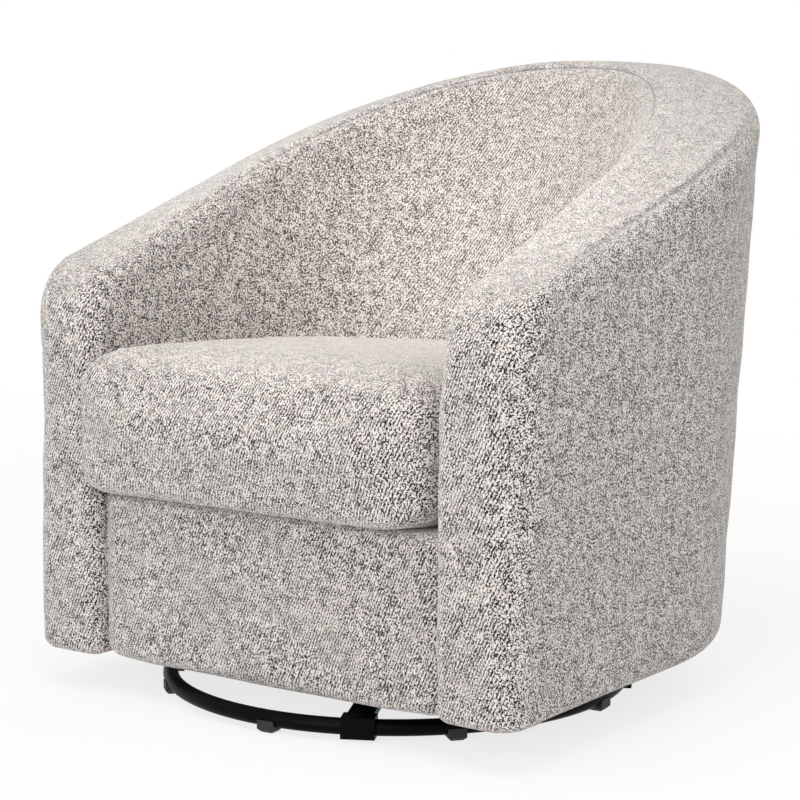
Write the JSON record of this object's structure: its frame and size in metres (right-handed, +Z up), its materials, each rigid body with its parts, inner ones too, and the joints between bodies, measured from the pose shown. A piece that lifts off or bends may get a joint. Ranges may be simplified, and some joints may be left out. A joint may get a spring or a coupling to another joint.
{
  "type": "swivel glider chair",
  "caption": "Barrel-backed upholstered armchair on a low ring base that swivels all the way round and glides fore and aft on hanging links.",
  "frame": {"origin": "on the floor, under the middle of the bounding box", "axes": "+Z up, the seat faces -Y, +X is the side seen on the right from the front"},
  "size_m": [0.7547, 0.8421, 0.7948],
  "materials": {
    "boucle": "looped boucle weave, cream with charcoal flecks",
    "foam": "open-cell foam",
    "deck_cloth": "woven deck cloth",
    "dust_cloth": "thin black spun cloth",
    "timber": "plywood and pine, bare",
    "spring_steel": "drawn wire",
    "black_steel": "satin black powder coat",
    "zinc_steel": "zinc plated",
    "black_plastic": "moulded, matte",
    "nylon": "moulded, satin",
    "rubber": "moulded, matte"
  },
  "bodies": {
    "base": {"base_ring": "black_steel", "floor_feet": "black_plastic", "spoke_1": "black_steel", "spoke_2": "black_steel", "spoke_3": "black_steel", "spoke_4": "black_steel", "hub_plate": "black_steel", "hub_bolts": "zinc_steel", "hub_nuts": "zinc_steel", "lower_race": "zinc_steel", "bearing_balls": "zinc_steel", "ball_cage": "black_plastic", "swivel_bolt": "zinc_steel", "swivel_washer": "zinc_steel", "swivel_nut": "zinc_steel"},
    "carriage": {"upper_race": "zinc_steel", "swivel_plate": "black_steel", "carriage_rail_left": "black_steel", "carriage_rail_right": "black_steel", "upper_pivot_pins": "zinc_steel", "glide_bumpers": "rubber", "pivot_post_front_left": "black_steel", "pivot_post_front_right": "black_steel", "pivot_post_rear_left": "black_steel", "pivot_post_rear_right": "black_steel"},
    "rear_links": {"swing_link_rear_left": "black_steel", "swing_link_rear_right": "black_steel", "rear_link_bushes": "nylon"},
    "front_links": {"swing_link_front_left": "black_steel", "swing_link_front_right": "black_steel", "front_link_bushes": "nylon"},
    "chair": {"arm_front_left": "boucle", "arm_front_right": "boucle", "bottom_hoop": "timber", "corner_blocks": "timber", "dust_cover": "dust_cloth", "front_rail_board": "timber", "front_rail_pad": "boucle", "glide_rail_left": "black_steel", "glide_rail_right": "black_steel", "hanger_plate_front_left": "black_steel", "hanger_plate_front_right": "black_steel", "hanger_plate_rear_left": "black_steel", "hanger_plate_rear_right": "black_steel", "inside_back_pad": "boucle", "lower_pivot_pins": "zinc_steel", "lower_ribs": "timber", "mounting_slat_front": "timber", "mounting_slat_rear": "timber", "outside_cover": "boucle", "rail_screws": "zinc_steel", "rim_band": "boucle", "seat_cushion_cover": "boucle", "seat_cushion_foam": "foam", "seat_deck": "deck_cloth", "seat_hoop": "timber", "seat_springs": "spring_steel", "spring_clips": "spring_steel", "top_hoop": "timber", "upper_ribs": "timber"}
  },
  "joints": [
    {"name": "swivel", "type": "hinge", "parent": "base", "child": "carriage", "pos_m": [0, -0.111, 0.0755], "axis": [0, 0, 1], "continuous": true},
    {"name": "glide", "type": "hinge", "parent": "carriage", "child": "rear_links", "pos_m": [0, 0.029, 0.205], "axis": [1, 0, 0], "range_deg": [-22, 22]},
    {"name": "chair_level", "type": "hinge", "parent": "rear_links", "child": "chair", "pos_m": [0, 0.029, 0.1], "axis": [1, 0, 0], "range_deg": [-22, 22]},
    {"name": "front_glide", "type": "hinge", "parent": "carriage", "child": "front_links", "pos_m": [0, -0.251, 0.205], "axis": [1, 0, 0], "range_deg": [-22, 22]}
  ],
  "couplings": [
    {"joint": "chair_level", "follows": "glide", "ratio": -1},
    {"joint": "front_glide", "follows": "glide", "ratio": 1}
  ]
}
